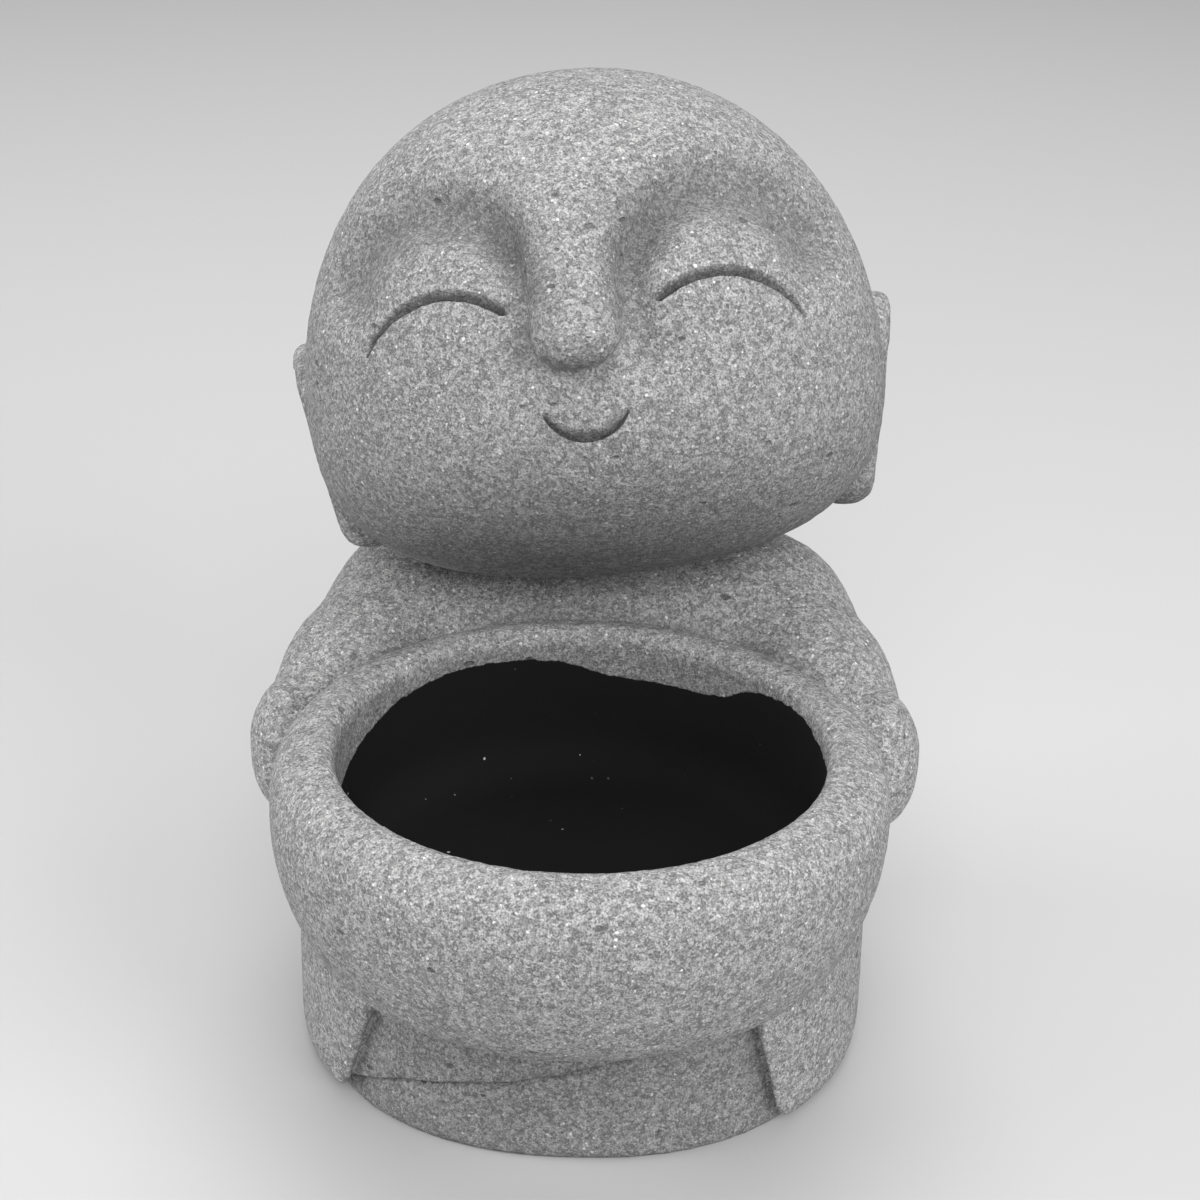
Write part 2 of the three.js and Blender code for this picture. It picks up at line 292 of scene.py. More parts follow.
# The eyes and the mouth are pressed in with a tool that leans: a slope under the upper edge, and a crisp
# lower edge that hangs over a little
def pressLines(p):
    q = (p - np.array(head["centre"])) @ headTurn @ faceTurn
    front = q[:, 1] < -10
    along, outside, past = arcDistance(np.abs(q[:, 0]), q[:, 2], eye)
    size = 1 - eye["thinner"] * np.clip(-along, 0, 1) ** 2
    depth = front * eye["depth"] * size * slantedCut(-outside, past, size, eye)
    along, outside, past = arcDistance(q[:, 0], q[:, 2], mouth)
    size = 1 - mouth["thinner"] * along ** 2
    depth = np.maximum(depth, front * mouth["depth"] * size * slantedCut(outside, past, size, mouth))
    inward = headTurn @ faceTurn @ np.array((0, 1, -head["cutLean"]))
    return p + depth[:, None] * inward, depth


# Body, arms and sleeves

body = {
    "halfWidth": 44.0,
    "halfDepth": 45.2,
    "middle": 1.2,
    "power": 2.25,
    "top": 50.0,
    "chest": (0, 28.5, 46.0),
    "chestRadii": (46.2, 23.5, 28.3),
    "chestPowers": (2.3, 3.0),  # around, and up to the nearly level top
    "blend": 8.0,
    "neck": (-1.0, 34.0, 67.0),
    "neckRadii": (33.0, 15.5, 12.5),
    "neckBlend": 5.0,
}
sleeves = {
    "proud": 3.0,
    "low": 0.6,
    "top": 60.0,
    "edge": 1.6,
    "tip": 5.0,
    "back": 24.0,
    "right": (37.8, 0.27),  # where the front edge meets the floor, and its lean per mm of height
    "left": (33.2, 0.22),
}
wrap = {
    "proud": 1.0,
    "step": 0.4,
    "crease": 0.9,
    "x": (-40.0, -35.3, -27.2, -18.3, -9.0, -1.9, 7.1, 12.0, 19.4, 30.0, 40.0),
    "z": (3.0, 5.4, 10.1, 12.8, 14.9, 16.8, 19.4, 21.2, 23.2, 26.0, 28.2),
}
arms = {
    "shoulder": (29.8, 23.8, 63.9),
    "elbow": (37.1, 9.0, 57.0),
    "wrist": (45.3, -4.0, 53.5),
    "radii": (12.7, 11.8, 8.5),
    "blend": 9.0,
    "hand": (47.5, -5.7, 52.6),
    "handRadii": (6.3, 10.0, 11.3),
}


def robe(p):
    return oval(p, body["halfWidth"], body["halfDepth"], body["middle"], body["power"])


# How far a place is above the hem of the upper layer, which sweeps across the front
def overHem(p):
    slope = np.interp(p[:, 0] + 1, wrap["x"], wrap["z"]) - np.interp(p[:, 0] - 1, wrap["x"], wrap["z"])
    return (p[:, 2] - np.interp(p[:, 0], wrap["x"], wrap["z"])) / np.sqrt(1 + slope ** 2 / 4)


def upperLayer(p):
    over = overHem(p)
    step = np.clip(over / wrap["step"] + 0.5, 0, 1)
    fade = np.clip((46 - p[:, 2]) / 10, 0, 1) * np.clip(-p[:, 1] / 8, 0, 1)
    crease = np.exp(-((over + wrap["step"]) / 0.5) ** 2)
    return fade * (wrap["proud"] * step * step * (3 - 2 * step) - wrap["crease"] * crease)


def bodyShape(p):
    skirt = softMax(softMax(robe(p) - upperLayer(p), -p[:, 2], 2.0), p[:, 2] - body["top"], 10.0)
    q = p - np.array(body["chest"])
    wide, deep, tall = body["chestRadii"]
    around, rise = body["chestPowers"]
    flat = (np.abs(q[:, 0] / wide) ** around + np.abs(q[:, 1] / deep) ** around) ** (1 / around)
    g = (flat ** rise + np.abs(q[:, 2] / tall) ** rise) ** (1 / rise)
    chest = np.sqrt((q ** 2).sum(1)) * (1 - 1 / np.maximum(g, 1e-6))
    neck = ball(p, body["neck"], body["neckRadii"])
    return softMin(softMin(skirt, chest, body["blend"]), neck, body["neckBlend"])


def sleeveShape(p):
    z = p[:, 2]
    proud = sleeves["proud"] * np.clip((50 - z) / 12, 0, 1)
    foot = np.where(p[:, 0] < 0, sleeves["right"][0], sleeves["left"][0])
    lean = np.where(p[:, 0] < 0, sleeves["right"][1], sleeves["left"][1])
    f = softMax(robe(p) - proud, foot - lean * z - np.abs(p[:, 0]), sleeves["edge"])
    f = softMax(f, p[:, 1] - sleeves["back"], 3.0)
    return softMax(softMax(f, sleeves["low"] - z, sleeves["tip"]), z - sleeves["top"], 5.0)


def armShape(p):
    q = bothSides(p)
    upper = limb(q, arms["shoulder"], arms["elbow"], arms["radii"][0], arms["radii"][1])
    lower = limb(q, arms["elbow"], arms["wrist"], arms["radii"][1], arms["radii"][2])
    return softMin(upper, lower, 6.0)


# Bowl

bowl = {
    "middle": -32.5,
    "rim": 69.2,
    "outer": 47.0,
    "inner": 37.0,
    "height": 31.6,
    "depth": 25.0,
    "taper": 7.3,
    "lip": 9.0,
    "foot": 4.0,
    "innerLip": 3.8,
}


def bowlShape(p):
    r = np.hypot(p[:, 0], p[:, 1] - bowl["middle"])
    z = p[:, 2] - bowl["rim"]
    side = r - bowl["outer"] + bowl["taper"] * np.clip((-z - 11) / 22, 0, 2) ** 2
    return softMax(softMax(side, z, bowl["lip"]), -z - bowl["height"], bowl["foot"])


def bowlHollow(p):
    r = np.hypot(p[:, 0], p[:, 1] - bowl["middle"])
    return softMax(r - bowl["inner"], bowl["rim"] - bowl["depth"] - p[:, 2], 8.0)


def statueShape(p):
    f = softMin(bodyShape(p), sleeveShape(p), 1.0)
    f = softMin(f, armShape(p), arms["blend"])
    f = softMin(f, ball(bothSides(p), arms["hand"], arms["handRadii"]), 1.2)
    f = softMin(f, bowlShape(p), 0.8)
    f = softMax(f, -bowlHollow(p), bowl["innerLip"])
    return softMin(f, headShape(p), 2.0)


# Painted shade: darker colour painted into the hollows, under the nose and the bowl, below the hem, along the
# joins, on what faces down and on the bowl's inner wall, least on what faces up
shadePainting = {
    "browSpread": 0.6,  # below 1 it reaches further out of the hollow
    "underNose": 0.7,
    "noseHalf": 6.5,  # mm to each side of the tip
    "noseDrop": 5.2,  # mm below the middle of the tip
    "noseBow": 1.2,  # mm that the band under it curves
    "noseBand": 1.6,  # mm
    "noseFront": -35.0,
    "hemOffset": 0.3,  # mm below the hem
    "hemBand": 0.5,  # mm
    "creaseReach": 2.0,  # mm
    "uprightHead": 0.41,
    "headFall": 0.65,  # how much less there is on what faces up
    "uprightBowl": 0.12,
    "bowlFall": 0.5,
    "sheltered": 0.5,  # on the robe under the bowl
    "inside": 0.6,  # on the bare inner wall of the bowl
}


# 1 on the given surface, and 0 from 1.5 mm off it
def onSurface(shape, p):
    return np.clip(1.5 - np.abs(shape(p)), 0, 1)


# Painted shade in the brow hollows and a painted shadow under the nose
def paintedFaceShade(p):
    face = (p - np.array(head["centre"])) @ headTurn @ faceTurn
    underBrow = (browHollow(face) / brow["depth"]) ** shadePainting["browSpread"]
    aside = (face[:, 0] - nose["tip"][0]) / shadePainting["noseHalf"]
    below = face[:, 2] - nose["tip"][2] + shadePainting["noseDrop"] - shadePainting["noseBow"] * aside ** 2
    band = np.exp(-(below / shadePainting["noseBand"]) ** 2 - aside ** 4) * (face[:, 1] < shadePainting["noseFront"])
    return np.maximum(underBrow, shadePainting["underNose"] * band)


# Painted shadow below the hem, and painted shade on the robe under the bowl
def paintedRobeShade(p):
    off = (overHem(p) + shadePainting["hemOffset"]) / shadePainting["hemBand"]
    hem = np.exp(-off ** 2) * (p[:, 1] < 0) * (p[:, 2] < 40) * (np.abs(robe(p)) < 2)
    onRobe = np.clip(sleeveShape(p), 0, 1) * np.clip(bowlShape(p) / 2, 0, 1) * (np.abs(robe(p)) < 3)
    low = np.clip((42 - p[:, 2]) / 6, 0, 1) * np.clip(-p[:, 1] / 15, 0, 1)
    return np.maximum(hem, shadePainting["sheltered"] * onRobe * low)


# How much painted shade a place has, from 0 to 1, where rise is how far its surface faces up
def paintedShadeDepth(p, rise):
    cloth = np.minimum(np.minimum(bodyShape(p), sleeveShape(p)), armShape(p))
    # painted shade along the joins of the cloth and the bowl
    crease = np.exp(-(np.abs(cloth) + np.abs(bowlShape(p))) / shadePainting["creaseReach"])
    aboveNeck = np.clip((p[:, 2] - 82) / 4, 0, 1)
    # painted shade on the head and the bowl where they face down
    onHead = onSurface(headShape, p) * aboveNeck
    onHead = onHead * np.clip(shadePainting["uprightHead"] - shadePainting["headFall"] * rise, 0, 1)
    onBowl = onSurface(bowlShape, p) * np.clip(shadePainting["uprightBowl"] - shadePainting["bowlFall"] * rise, 0, 1)
    # painted shade on the bowl's bare inner wall
    belowRim = np.clip((bowl["rim"] - 1.0 - p[:, 2]) / 2, 0, 1)
    inside = onSurface(bowlHollow, p) * shadePainting["inside"] * belowRim
    return np.maximum.reduce([paintedFaceShade(p), paintedRobeShade(p), crease, onHead, onBowl, inside])


# Meshing: one vertex in every small box that the surface passes through, then moved onto the surface

meshing = {
    "cell": 1.2,  # mm
    "margin": 3.0,  # mm around the solid's box
    "settleSteps": 4,
    "lineBand": 2.4,  # mm to each side of the cuts of the face, meshed finer
    "lineCore": 1.6,  # and finer again
    "edgeBand": 1.4,  # the same for the edges of the cloth
    "edgeCore": 0.8,
    "probe": 0.02,  # mm
    "longestMove": 0.5,  # mm
}


def evaluate(shape, points, chunk=400000):
    return np.concatenate([shape(points[i:i + chunk]) for i in range(0, len(points), chunk)])


def settle(shape, points, steps, limit):
    probe = meshing["probe"]
    offsets = np.eye(3) * probe
    for _ in range(steps):
        value = evaluate(shape, points)
        slope = np.stack([
            (evaluate(shape, points + o) - evaluate(shape, points - o)) / (2 * probe) for o in offsets
        ], 1)
        move = -value[:, None] * slope / np.maximum((slope ** 2).sum(1, keepdims=True), 0.1)
        length = np.linalg.norm(move, axis=1, keepdims=True)
        points = points + move * np.minimum(1, limit / np.maximum(length, 1e-9))
    return points


def surfaceMesh(shape, low, high, cell):
    axes = [np.arange(a, b + cell, cell) for a, b in zip(low, high)]
    counts = [len(a) for a in axes]
    grid = np.stack(np.meshgrid(*axes, indexing="ij"), -1).reshape(-1, 3)
    value = evaluate(shape, grid).reshape(counts)
    inside = value < 0
    boxes = [n - 1 for n in counts]
    total = np.zeros(boxes + [3])
    hits = np.zeros(boxes)
    for axis in range(3):
        others = [a for a in range(3) if a != axis]
        for corner in ((0, 0), (0, 1), (1, 0), (1, 1)):
            start = [0, 0, 0]
            start[others[0]], start[others[1]] = corner
            end = list(start)
            end[axis] = 1
            a = tuple(slice(s, s + n) for s, n in zip(start, boxes))
            b = tuple(slice(s, s + n) for s, n in zip(end, boxes))
            crossed = inside[a] != inside[b]
            t = np.where(crossed, value[a] / np.where(crossed, value[a] - value[b], 1), 0)
            hits += crossed
            for k in range(3):
                total[..., k] += crossed * (t if k == axis else start[k])
    used = hits > 0
    number = np.full(boxes, -1)
    number[used] = np.arange(used.sum())
    base = np.stack(np.nonzero(used), 1)
    points = (base + total[used] / hits[used][:, None]) * cell + np.array([a[0] for a in axes])
    faces = []
    for axis in range(3):
        first, second = [(axis + 1) % 3, (axis + 2) % 3]
        a = [slice(1, n - 1) for n in counts]
        a[axis] = slice(0, counts[axis] - 1)
        b = list(a)
        b[axis] = slice(1, counts[axis])
        crossed = inside[tuple(a)] != inside[tuple(b)]
        at = np.stack(np.nonzero(crossed), 1)
        at[:, [first, second]] += 1
        ring = []
        for du, dv in ((0, 0), (-1, 0), (-1, -1), (0, -1)):
            box = at.copy()
            box[:, first] += du
            box[:, second] += dv
            ring.append(number[tuple(box.T)])
        quads = np.stack(ring, 1)
        outward = inside[tuple(at.T)]
        quads[~outward] = quads[~outward][:, ::-1]
        faces.append(quads)
    return points, np.concatenate(faces)


# Places that need a finer mesh: the cuts of the face, and the edges of the cloth
def nearFaceLines(p, band):
    q = (p - np.array(head["centre"])) @ headTurn @ faceTurn
    near = np.zeros(len(p), bool)
    for arc, u in ((eye, np.abs(q[:, 0])), (mouth, q[:, 0])):
        along, outside, past = arcDistance(u, q[:, 2], arc)
        near |= np.hypot(outside, past) < band
    return near & (q[:, 1] < -10)


def nearClothEdges(p, band):
    x, z = p[:, 0], p[:, 2]
    onFront = (np.abs(robe(p)) < 4) & (p[:, 1] < 0)
    hem = (np.abs(overHem(p)) < band) & (x > -36) & (x < 30)
    foot = np.where(x < 0, sleeves["right"][0], sleeves["left"][0])
    lean = np.where(x < 0, sleeves["right"][1], sleeves["left"][1])
    edge = (np.abs(np.abs(x) - foot + lean * z) < 1.5 * band) & (z > 1) & (z < 45)
    return onFront & (hem | edge)


def refine(mesh, choose):
    fine = bmesh.new()
    fine.from_mesh(mesh)
    fine.faces.ensure_lookup_table()
    middles = np.array([f.calc_center_median() for f in fine.faces]) / mm
    chosen = choose(middles)
    edges = {e for f, wanted in zip(fine.faces, chosen) if wanted for e in f.edges}
    bmesh.ops.subdivide_edges(fine, edges=list(edges), cuts=1, use_grid_fill=True)
    bmesh.ops.triangulate(fine, faces=[f for f in fine.faces if len(f.verts) > 4])
    fine.to_mesh(mesh)
    fine.free()


def readPoints(mesh):
    points = np.zeros(len(mesh.vertices) * 3)
    mesh.vertices.foreach_get("co", points)
    return points.reshape(-1, 3) / mm


def writePoints(mesh, points):
    mesh.vertices.foreach_set("co", (points * mm).ravel())
    mesh.update()


def settleMesh(mesh):
    points = settle(statueShape, readPoints(mesh), meshing["settleSteps"], meshing["longestMove"])
    points[:, 2] = np.where(points[:, 2] < 0.05, 0, points[:, 2])
    writePoints(mesh, points)


# Presses the lines of the face into the mesh, and keeps on each vertex how much painted shade lies there, in
# the pressed lines too
def pressAndPaintShade(mesh):
    points = readPoints(mesh)
    normals = np.zeros(points.size)
    mesh.vertices.foreach_get("normal", normals)
    paintedShade = paintedShadeDepth(points, normals[2::3])
    points, pressed = pressLines(points)
    writePoints(mesh, points)
    # painted shade in the pressed eye and mouth lines
    paintedShade = np.maximum(paintedShade, np.clip(pressed, 0, 1))
    mesh.attributes.new("paintedShade", "FLOAT", "POINT").data.foreach_set("value", paintedShade)


def buildStatue():
    margin = meshing["margin"]
    low = [v / mm - margin for v in cadBox[0]]
    high = [v / mm + margin for v in cadBox[1]]
    points, faces = surfaceMesh(statueShape, low, high, meshing["cell"])
    print("surface found:", len(points), "points,", len(faces), "faces")
    mesh = bpy.data.meshes.new("jizo")
    mesh.from_pydata((points * mm).tolist(), [], faces.tolist())
    settleMesh(mesh)
    refine(mesh, lambda p: nearFaceLines(p, meshing["lineBand"]))
    refine(mesh, lambda p: nearFaceLines(p, meshing["lineBand"]) | nearClothEdges(p, meshing["edgeBand"]))
    settleMesh(mesh)
    refine(mesh, lambda p: nearFaceLines(p, meshing["lineCore"]) | nearClothEdges(p, meshing["edgeCore"]))
    settleMesh(mesh)
    pressAndPaintShade(mesh)
    mesh.validate()
    mesh.calc_loop_triangles()
    print("statue meshed:", len(mesh.loop_triangles), "triangles")
    mesh.polygons.foreach_set("use_smooth", [True] * len(mesh.polygons))
    statue = bpy.data.objects.new("jizo", mesh)
    bpy.context.scene.collection.objects.link(statue)
    return statue


# Materials

def linear(hexColour):
    values = [int(hexColour[i:i + 2], 16) / 255 for i in (1, 3, 5)]
    return [v / 12.92 if v <= 0.04045 else ((v + 0.055) / 1.055) ** 2.4 for v in values] + [1]


def addNode(tree, kind, settings=None, inputs=None):
    node = tree.nodes.new(kind)
    for name, value in (settings or {}).items():
        setattr(node, name, value)
    for name, value in (inputs or {}).items():
        if isinstance(value, bpy.types.NodeSocket):
            tree.links.new(value, node.inputs[name])
        else:
            node.inputs[name].default_value = value
    return node


def calc(tree, operation, *values, clamp=False):
    settings = {"operation": operation, "use_clamp": clamp}
    return addNode(tree, "ShaderNodeMath", settings, dict(enumerate(values))).outputs[0]


# 0 below the first value, 1 above the second, smooth between them
def ramp(tree, value, low, high):
    node = addNode(tree, "ShaderNodeMapRange", {"interpolation_type": "SMOOTHSTEP"}, {
        "Value": value, "From Min": low, "From Max": high,
    })
    return node.outputs["Result"]


# Cast stone: grey cement with crushed granite, cast in a mould and brushed. Sand of every grey shows all over
# it, a few pale grains glitter, air bubbles leave little slots, and painted shade darkens the slots, the
# hollows and what faces down. It is fully matt.
castStone = {
    "dark": "#626262",
    "pale": "#d2d2d2",
    "bias": 1.6,  # above 1 there is more dark sand than pale
    "fleck": "#eaeaea",
    "glint": "#f4f4f4",
    # the colour of the painted shade, used in the hollows and in the pits
    "paintedShade": "#4c4c4c",
    "paintedShadeCover": 0.6,  # how much of the painted shade colour covers the hollows
    "grain": 0.55,  # mm across a grain of sand
    "grainShare": 0.45,  # how much the grains differ
    "fine": 0.3,  # mm across the dust between them
    "fineShare": 1.25,
    "cloud": 1.6,  # mm across a patch with more pale or more dark sand
    "cloudShare": 0.4,
    "wander": 0.35,  # mm that the grains stray from an even pattern
    "wanderLength": 0.5,  # mm
    "flecks": {"spacing": 1.15, "share": 0.38, "size": 0.3, "cover": 0.85},
    "glints": {"spacing": 2.3, "share": 0.35, "size": 0.17, "cover": 0.9},
    "pits": {"spacing": 2.1, "share": 0.2, "size": 0.26, "cover": 0.7},
    "pitLength": 2.2,  # how much longer than high a pit is
    "relief": 0.2,  # mm
    "grainRelief": 0.35,
    "fineRelief": 1.2,
    "pitRelief": 1.6,
    "roughness": 0.95,
    "sheen": 0.3,
}

# Lining: black bitumen paint brushed into the bowl up to a wavy edge, with a dull sheen and some pale dust
lining = {
    "paint": "#151515",
    "dust": "#b9b9b9",
    "roughness": 0.92,
    "sheen": 0.15,
    "reach": 40.0,  # mm from the axis of the bowl
    "floor": 42.0,  # mm, and the paint is only above this level
    # degrees round the bowl, from the viewer's right and past the back, and mm left bare below the rim
    "edge": ((-180, 12), (-158, 7.5), (-120, 4.5), (-60, 3.5), (-11, 2.4), (9, 3.8), (24, 3.0), (46, 5.0),
             (60, 8.2), (74, 8.1), (82, 7.9), (99, 5.2), (120, 4.5), (136, 5.3), (151, 7.3), (166, 9.7),
             (180, 12.8)),
    "waver": 0.7,  # mm
    "waverLength": 2.2,  # mm
    "softness": 0.12,  # mm
    "specks": {"spacing": 2.2, "share": 0.45, "size": 0.13},
    "dustPatch": 14.0,  # mm across the places where dust lies
    "dustRange": (0.48, 0.6),  # from where the patches start to where they are full
    "fills": 0.85,  # how much of the stone's relief the paint fills
}


def mixColour(tree, amount, first, second):
    node = addNode(tree, "ShaderNodeMix", {"data_type": "RGBA"}, {0: amount, 6: first, 7: second})
    return node.outputs[2]


def voronoi(tree, place, size, **inputs):
    return addNode(tree, "ShaderNodeTexVoronoi", None, {"Vector": place, "Scale": 1 / (size * mm), **inputs})


def noise(tree, place, size, detail=2.0, roughness=0.6):
    return addNode(tree, "ShaderNodeTexNoise", None, {
        "Vector": place, "Scale": 1 / (size * mm), "Detail": detail, "Roughness": roughness,
    }).outputs["Fac"]


# Small spots at scattered places: one in the given share of the cells, of a size relative to the spacing in mm
def spots(tree, place, kind):
    cells = voronoi(tree, place, kind["spacing"])
    pick = addNode(tree, "ShaderNodeSeparateColor", None, {"Color": cells.outputs["Color"]})
    chosen = calc(tree, "GREATER_THAN", pick.outputs[0], 1 - kind["share"])
    reach = calc(tree, "MULTIPLY", pick.outputs[1], kind["size"])
    near = calc(tree, "SUBTRACT", 1.0, calc(tree, "DIVIDE", cells.outputs["Distance"], reach), clamp=True)
    return calc(tree, "MULTIPLY", chosen, ramp(tree, near, 0.0, 0.5))


def liningMask(tree, place):
    part = addNode(tree, "ShaderNodeSeparateXYZ", None, {"Vector": place}).outputs
    y = calc(tree, "SUBTRACT", part["Y"], bowl["middle"] * mm)
    angle = calc(tree, "ARCTAN2", y, part["X"])
    around = calc(tree, "MULTIPLY_ADD", angle, 0.5 / math.pi, 0.5)
    curve = addNode(tree, "ShaderNodeFloatCurve", None, {"Value": around})
    points = curve.mapping.curves[0].points
    deepest = max(depth for angle, depth in lining["edge"])
    for angle, depth in lining["edge"][1:-1]:
        points.new(angle / 360 + 0.5, depth / deepest)
    points[0].location = (0, lining["edge"][0][1] / deepest)
    points[-1].location = (1, lining["edge"][-1][1] / deepest)
    curve.mapping.update()
    bare = calc(tree, "MULTIPLY", curve.outputs["Value"], deepest * mm)
    uneven = calc(tree, "SUBTRACT", noise(tree, place, lining["waverLength"], 3), 0.5)
    waver = calc(tree, "MULTIPLY", uneven, 2 * lining["waver"] * mm)
    depth = calc(tree, "SUBTRACT", bowl["rim"] * mm, part["Z"])
    past = calc(tree, "SUBTRACT", calc(tree, "SUBTRACT", depth, bare), waver)
    below = ramp(tree, past, -lining["softness"] * mm, lining["softness"] * mm)
    square = calc(tree, "ADD", calc(tree, "POWER", part["X"], 2.0), calc(tree, "POWER", y, 2.0))
    radius = calc(tree, "SQRT", square)
    inside = calc(tree, "LESS_THAN", radius, lining["reach"] * mm)
    above = calc(tree, "GREATER_THAN", part["Z"], lining["floor"] * mm)
    return calc(tree, "MULTIPLY", below, calc(tree, "MULTIPLY", inside, above))


def makeCastStone():
    material = bpy.data.materials.new("sandyCastStone")
    material.use_nodes = True
    tree = material.node_tree
    shader = tree.nodes["Principled BSDF"]
    place = addNode(tree, "ShaderNodeTexCoord").outputs["Object"]

    wander = addNode(tree, "ShaderNodeTexNoise", None, {
        "Vector": place, "Scale": 1 / (castStone["wanderLength"] * mm), "Detail": 1,
    })
    shift = addNode(tree, "ShaderNodeVectorMath", {"operation": "MULTIPLY_ADD"}, {
        0: wander.outputs["Color"], 1: (castStone["wander"] * mm,) * 3, 2: place,
    })
    rough = shift.outputs[0]
    grains = voronoi(tree, rough, castStone["grain"])
    kind = addNode(tree, "ShaderNodeSeparateColor", None, {"Color": grains.outputs["Color"]}).outputs
    fine = calc(tree, "SUBTRACT", noise(tree, place, castStone["fine"], detail=1, roughness=0.5), 0.5)
    cloud = calc(tree, "SUBTRACT", noise(tree, place, castStone["cloud"], detail=3, roughness=0.65), 0.5)
    tone = calc(tree, "MULTIPLY_ADD", calc(tree, "SUBTRACT", kind[0], 0.5), castStone["grainShare"], 0.5)
    tone = calc(tree, "MULTIPLY_ADD", fine, castStone["fineShare"], tone)
    tone = calc(tree, "MULTIPLY_ADD", cloud, castStone["cloudShare"], tone, clamp=True)
    tone = calc(tree, "POWER", tone, castStone["bias"])
    flecks = spots(tree, rough, castStone["flecks"])
    glints = spots(tree, rough, castStone["glints"])
    long = addNode(tree, "ShaderNodeVectorMath", {"operation": "MULTIPLY"}, {
        0: rough, 1: (1 / castStone["pitLength"], 1 / castStone["pitLength"], 1.0),
    })
    pits = spots(tree, long.outputs[0], castStone["pits"])

    colour = mixColour(tree, tone, linear(castStone["dark"]), linear(castStone["pale"]))
    cover = calc(tree, "MULTIPLY", flecks, castStone["flecks"]["cover"])
    colour = mixColour(tree, cover, colour, linear(castStone["fleck"]))
    cover = calc(tree, "MULTIPLY", glints, castStone["glints"]["cover"])
    colour = mixColour(tree, cover, colour, linear(castStone["glint"]))
    # painted shade in the pits, as well as the bump that presses them in
    cover = calc(tree, "MULTIPLY", pits, castStone["pits"]["cover"])
    colour = mixColour(tree, cover, colour, linear(castStone["paintedShade"]))
    # painted shade from the mesh attribute: hollows, joins, cuts and what faces down
    paintedShadeAmount = addNode(tree, "ShaderNodeAttribute", {"attribute_name": "paintedShade"}).outputs["Fac"]
    cover = calc(tree, "MULTIPLY", paintedShadeAmount, castStone["paintedShadeCover"])
    colour = mixColour(tree, cover, colour, linear(castStone["paintedShade"]))

    painted = liningMask(tree, place)
    dusty = ramp(tree, noise(tree, place, lining["dustPatch"], detail=1), *lining["dustRange"])
    dust = calc(tree, "MULTIPLY", dusty, spots(tree, rough, lining["specks"]))
    paint = mixColour(tree, dust, linear(lining["paint"]), linear(lining["dust"]))
    tree.links.new(mixColour(tree, painted, colour, paint), shader.inputs["Base Color"])
    roughness = addNode(tree, "ShaderNodeMapRange", None, {
        "Value": painted, "To Min": castStone["roughness"], "To Max": lining["roughness"],
    })
    tree.links.new(roughness.outputs["Result"], shader.inputs["Roughness"])
    sheen = addNode(tree, "ShaderNodeMapRange", None, {
        "Value": painted, "To Min": castStone["sheen"], "To Max": lining["sheen"],
    })
    tree.links.new(sheen.outputs["Result"], shader.inputs["Specular IOR Level"])
    shader.inputs["IOR"].default_value = 1.5

    height = calc(tree, "MULTIPLY_ADD", fine, castStone["fineRelief"], cloud)
    height = calc(tree, "MULTIPLY_ADD", kind[0], castStone["grainRelief"], height)
    height = calc(tree, "SUBTRACT", height, calc(tree, "MULTIPLY", pits, castStone["pitRelief"]))
    flatter = calc(tree, "MULTIPLY_ADD", painted, -lining["fills"], 1.0)
    height = calc(tree, "MULTIPLY", height, flatter)
    bump = addNode(tree, "ShaderNodeBump", None, {
        "Height": height, "Strength": 1.0, "Distance": castStone["relief"] * mm,
    })
    tree.links.new(bump.outputs["Normal"], shader.inputs["Normal"])
    return material


# Sandy skin: the casting is uneven by a tenth of a millimetre or two, as the sand of its mould left it
skin = {
    "lump": 2.4,  # mm across
    "height": 0.5,  # mm
    "seed": 7,
}


def makeSkinNodes(material):
    tree = bpy.data.node_groups.new("sandySkin", "GeometryNodeTree")
    sockets = tree.interface
    sockets.new_socket("Statue", in_out="INPUT", socket_type="NodeSocketGeometry")
    sockets.new_socket("Lump size", in_out="INPUT", socket_type="NodeSocketFloat")
    sockets.new_socket("Lump height", in_out="INPUT", socket_type="NodeSocketFloat")
    sockets.new_socket("Seed", in_out="INPUT", socket_type="NodeSocketFloat")
    sockets.new_socket("Statue", in_out="OUTPUT", socket_type="NodeSocketGeometry")
    given = addNode(tree, "NodeGroupInput").outputs
    place = addNode(tree, "GeometryNodeInputPosition").outputs[0]
    lumps = addNode(tree, "ShaderNodeTexNoise", {"noise_dimensions": "4D"}, {
        "Vector": place, "W": given["Seed"], "Scale": calc(tree, "DIVIDE", 1.0, given["Lump size"]),
        "Detail": 2.0, "Roughness": 0.6,
    })
    rise = calc(tree, "MULTIPLY", calc(tree, "SUBTRACT", lumps.outputs["Fac"], 0.5), given["Lump height"])
    normal = addNode(tree, "GeometryNodeInputNormal").outputs[0]
    offset = addNode(tree, "ShaderNodeVectorMath", {"operation": "SCALE"}, {0: normal, "Scale": rise})
    height = addNode(tree, "ShaderNodeSeparateXYZ", None, {"Vector": place}).outputs["Z"]
    moved = addNode(tree, "GeometryNodeSetPosition", None, {
        "Geometry": given["Statue"], "Selection": calc(tree, "GREATER_THAN", height, 0.4 * mm),
        "Offset": offset.outputs[0],
    })
    whole = addNode(tree, "GeometryNodeRealizeInstances", None, {"Geometry": moved.outputs[0]})
    dressed = addNode(tree, "GeometryNodeSetMaterial", None, {
        "Geometry": whole.outputs[0], "Material": material,
    })
    addNode(tree, "NodeGroupOutput", None, {"Statue": dressed.outputs[0]})
    return tree


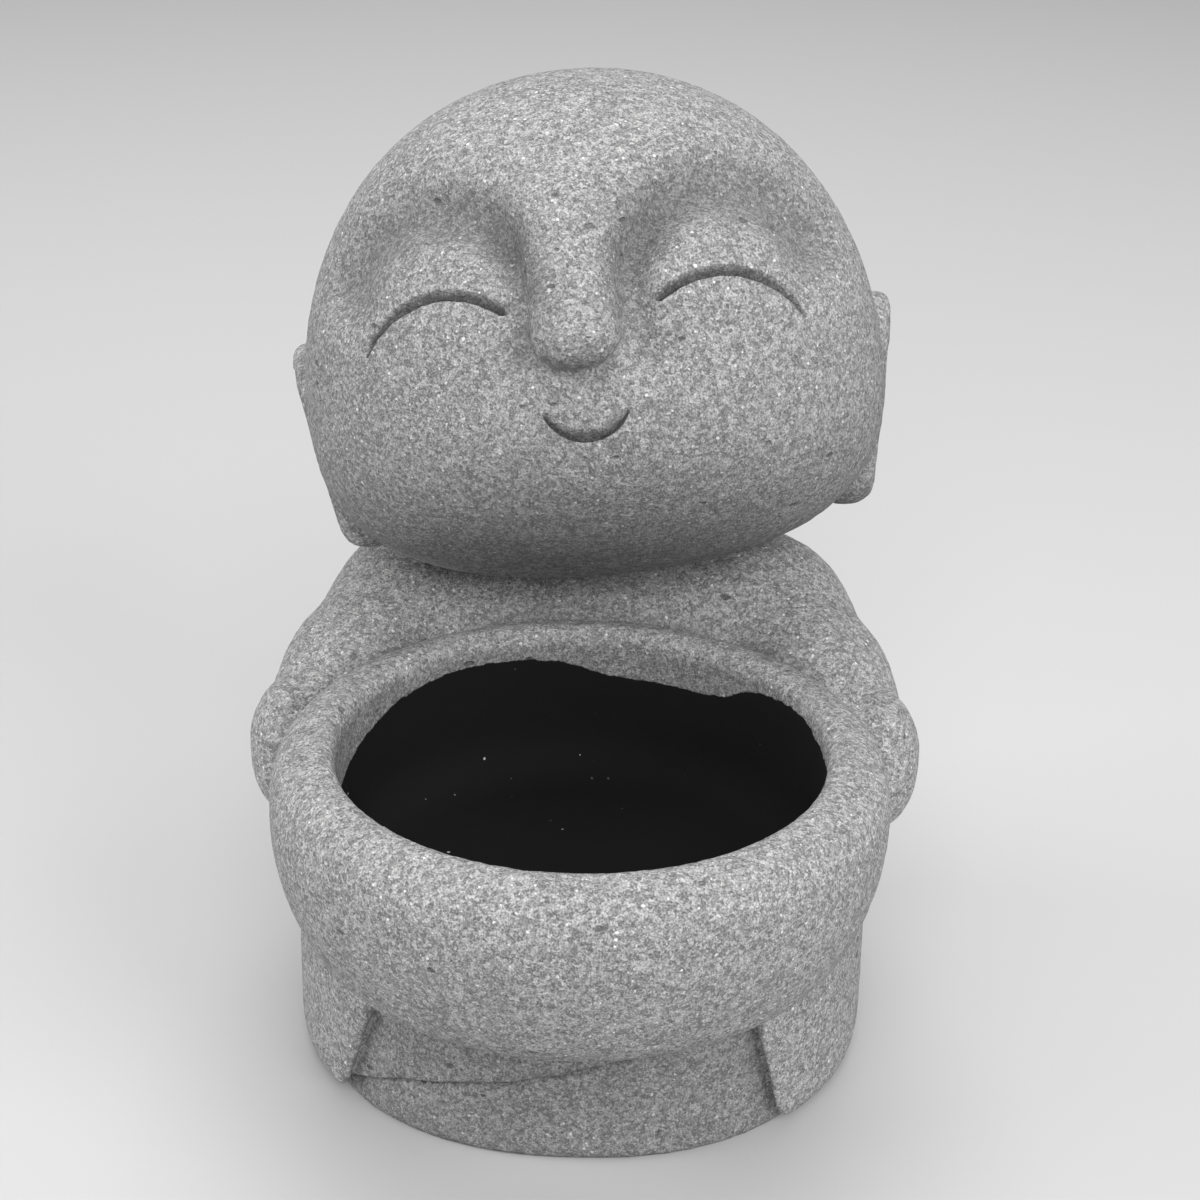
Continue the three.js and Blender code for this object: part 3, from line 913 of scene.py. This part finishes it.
def addSkin(piece, material):
    tree = makeSkinNodes(material)
    layer = piece.modifiers.new("sandySkin", "NODES")
    layer.node_group = tree
    sizes = {"Lump size": skin["lump"] * mm, "Lump height": skin["height"] * mm, "Seed": float(skin["seed"])}
    for socket in tree.interface.items_tree:
        if socket.in_out == "INPUT" and socket.name in sizes:
            layer[socket.identifier] = sizes[socket.name]
    graph = bpy.context.evaluated_depsgraph_get()
    mesh = bpy.data.meshes.new_from_object(
        piece.evaluated_get(graph), preserve_all_data_layers=True, depsgraph=graph)
    piece.modifiers.clear()
    piece.data = mesh


statue = buildStatue()
addSkin(statue, makeCastStone())
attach(statue, "root")
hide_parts("jizo_statue")
print("statue made")


# Studio

studio = {
    "floor": "#c4c4c4",
    "floorSize": 4.0,  # m
    "world": 0.15,
    "aim": (0, 0, 0.08),
    # place of each soft box in m, its side in m and its power in W
    "boxes": {
        "top": ((0.0, 0.0, 1.0), 0.8, 4.6),
        "topBack": ((0.0, 0.6, 0.9), 0.6, 3.2),
        "front": ((0.0, -0.95, 0.78), 0.5, 6.2),
        "frontRight": ((0.7, -0.8, 0.7), 0.6, 7.4),
        "left": ((-1.0, -0.1, 0.4), 0.6, 6.3),
        "right": ((1.0, -0.1, 0.4), 0.6, 2.1),
    },
}


def makeFloor():
    half = studio["floorSize"] / 2
    mesh = bpy.data.meshes.new("floor")
    corners = [(-half, -half, 0), (half, -half, 0), (half, half, 0), (-half, half, 0)]
    mesh.from_pydata(corners, [], [(0, 1, 2, 3)])
    floor = bpy.data.objects.new("floor", mesh)
    bpy.context.scene.collection.objects.link(floor)
    material = bpy.data.materials.new("palePaper")
    material.use_nodes = True
    shader = material.node_tree.nodes["Principled BSDF"]
    shader.inputs["Base Color"].default_value = linear(studio["floor"])
    shader.inputs["Roughness"].default_value = 0.9
    floor.data.materials.append(material)


def makeBox(name, place, side, power):
    data = bpy.data.lights.new(name, "AREA")
    data.shape = "SQUARE"
    data.size = side
    data.energy = power
    lamp = bpy.data.objects.new(name, data)
    lamp.location = place
    lamp.rotation_euler = (Vector(studio["aim"]) - Vector(place)).to_track_quat("-Z", "Y").to_euler()
    bpy.context.scene.collection.objects.link(lamp)


def makeStudio():
    makeFloor()
    for name, (place, side, power) in studio["boxes"].items():
        makeBox(name, place, side, power)
    world = bpy.data.worlds.new("studio")
    world.use_nodes = True
    background = world.node_tree.nodes["Background"]
    background.inputs["Color"].default_value = (1, 1, 1, 1)
    background.inputs["Strength"].default_value = studio["world"]
    bpy.context.scene.world = world
    bpy.context.scene.view_settings.view_transform = "Standard"


makeStudio()
print("studio made")
